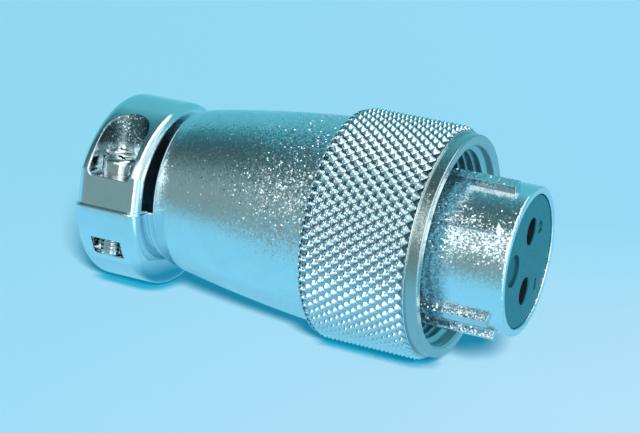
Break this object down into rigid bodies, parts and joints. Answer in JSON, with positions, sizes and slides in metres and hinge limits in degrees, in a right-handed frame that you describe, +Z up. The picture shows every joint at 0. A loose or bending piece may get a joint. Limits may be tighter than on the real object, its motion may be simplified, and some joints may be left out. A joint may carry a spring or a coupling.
{
  "type": "circular connector",
  "caption": "Cylindrical cable plug with a knurled threaded coupling ring, a keyed barrel with socket contacts, a tapered backshell and a screwed saddle clamp for the cable.",
  "frame": {"origin": "centre of the coupling ring's mouth, on the connector's axis", "axes": "+X along the axis towards the mating end, +Z up as it lies on a table"},
  "size_m": [0.0515, 0.027, 0.027],
  "materials": {
    "barrel_plate": "satin plated zinc with a fine sandy grain",
    "ring_plate": "bright plated knurl with a satin front band",
    "shell_plate": "satin plated zinc with a fine sandy grain",
    "clamp_plate": "smooth bright plate",
    "insert": "smooth teal moulded plastic",
    "rear_insert": "smooth dark teal moulded plastic",
    "contact": "silver plated",
    "clip": "plain spring steel",
    "rubber": "matte black",
    "screw": "bright plated",
    "washer": "plated spring steel"
  },
  "bodies": {
    "plug": {"plug_shell": "barrel_plate", "front_insert": "insert", "rear_insert": "rear_insert", "socket_contact_1": "contact", "socket_contact_2": "contact", "insert_clip": "clip", "face_gasket": "rubber", "shell_seal": "rubber", "backshell": "shell_plate", "cable_bushing": "rubber"},
    "ring": {"coupling_ring": "ring_plate"},
    "saddle": {"clamp_saddle": "clamp_plate", "clamp_screw_left": "screw", "clamp_screw_right": "screw", "lock_washer_left": "washer", "lock_washer_right": "washer"}
  },
  "joints": [
    {"name": "coupling_ring_turn", "type": "hinge", "parent": "plug", "child": "ring", "pos_m": [-0.0124, 0, 0], "axis": [1, 0, 0], "continuous": true},
    {"name": "clamp_saddle_slide", "type": "slide", "parent": "plug", "child": "saddle", "axis": [0, 0, 1], "range_m": [0, 0.004]}
  ]
}
